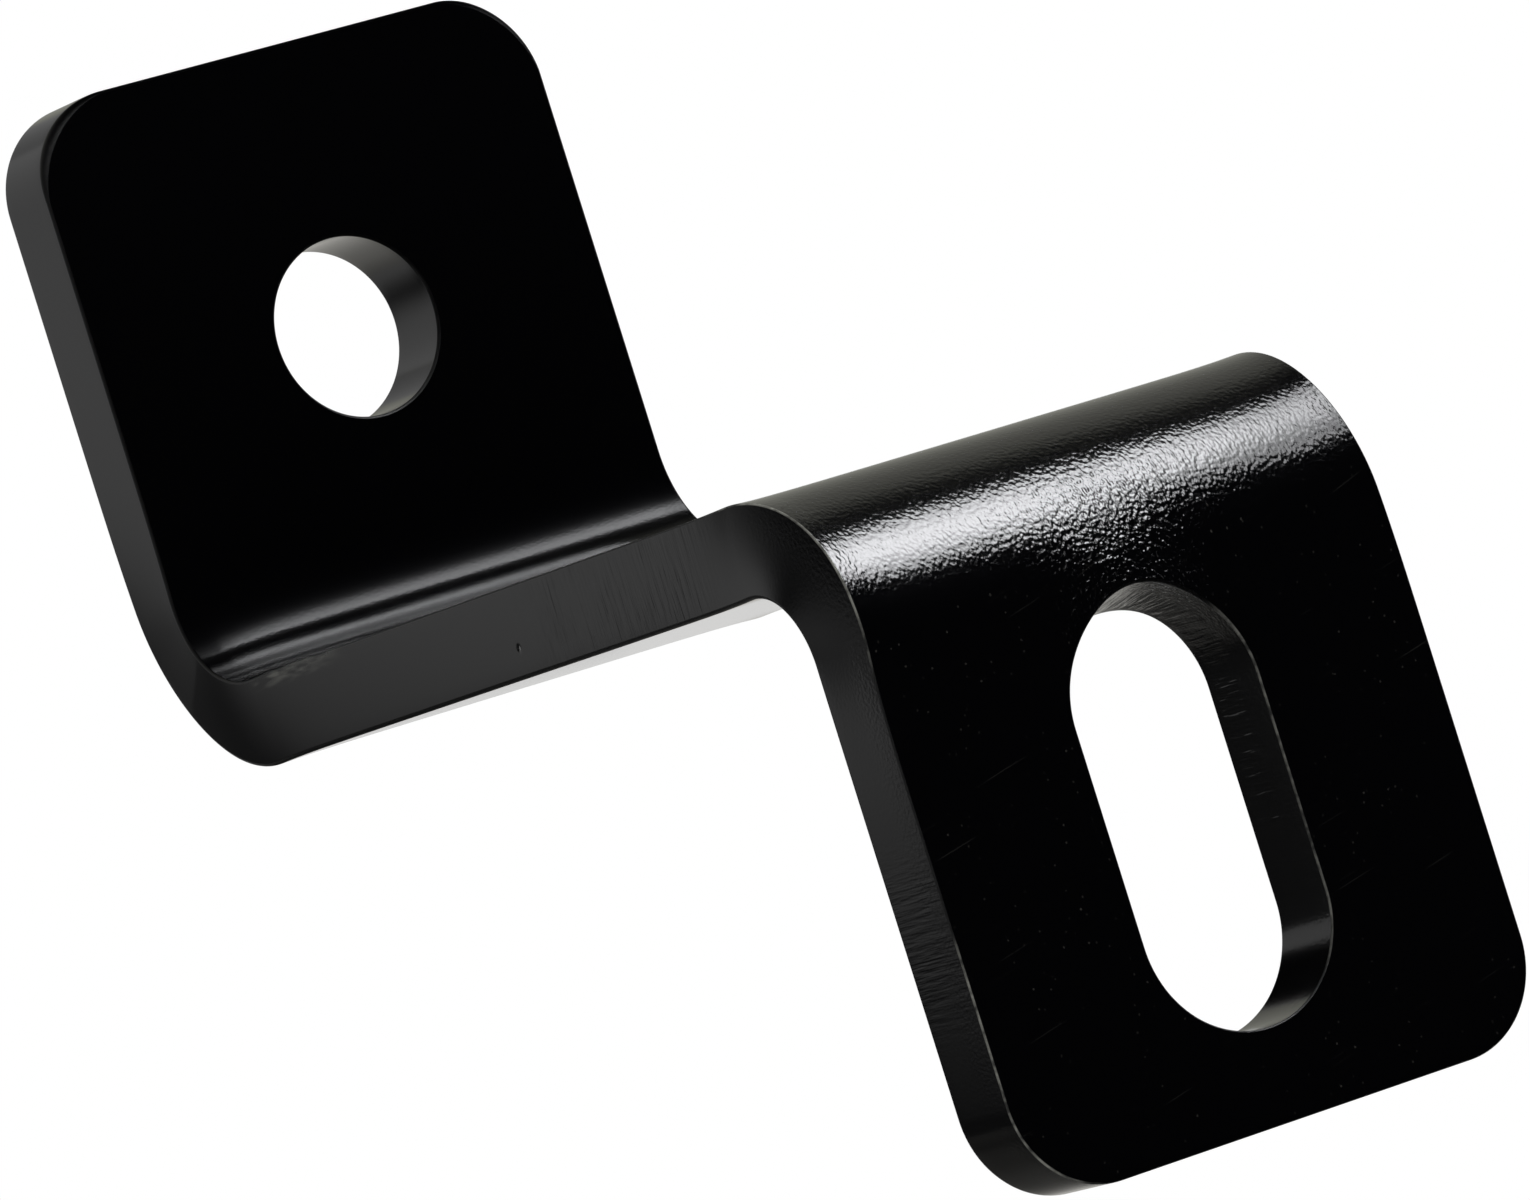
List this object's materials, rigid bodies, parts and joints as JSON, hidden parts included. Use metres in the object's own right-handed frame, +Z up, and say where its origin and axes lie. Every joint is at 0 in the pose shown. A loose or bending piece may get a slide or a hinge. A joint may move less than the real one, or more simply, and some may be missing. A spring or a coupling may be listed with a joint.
{
  "type": "offset mounting bracket",
  "caption": "Flat steel strip folded into a step, with a round bolt hole in the raised flange and an upright adjusting slot in the dropped one, coated satin black.",
  "frame": {"origin": "middle of the round hole on the back face of the upper flange", "axes": "+X across the strip's width, -Y to the front towards the slotted flange, +Z up along both flanges"},
  "size_m": [0.04, 0.088, 0.0875],
  "materials": {
    "black_coat": "satin black powder coat"
  },
  "bodies": {
    "root": {"bracket": "black_coat"}
  },
  "joints": []
}
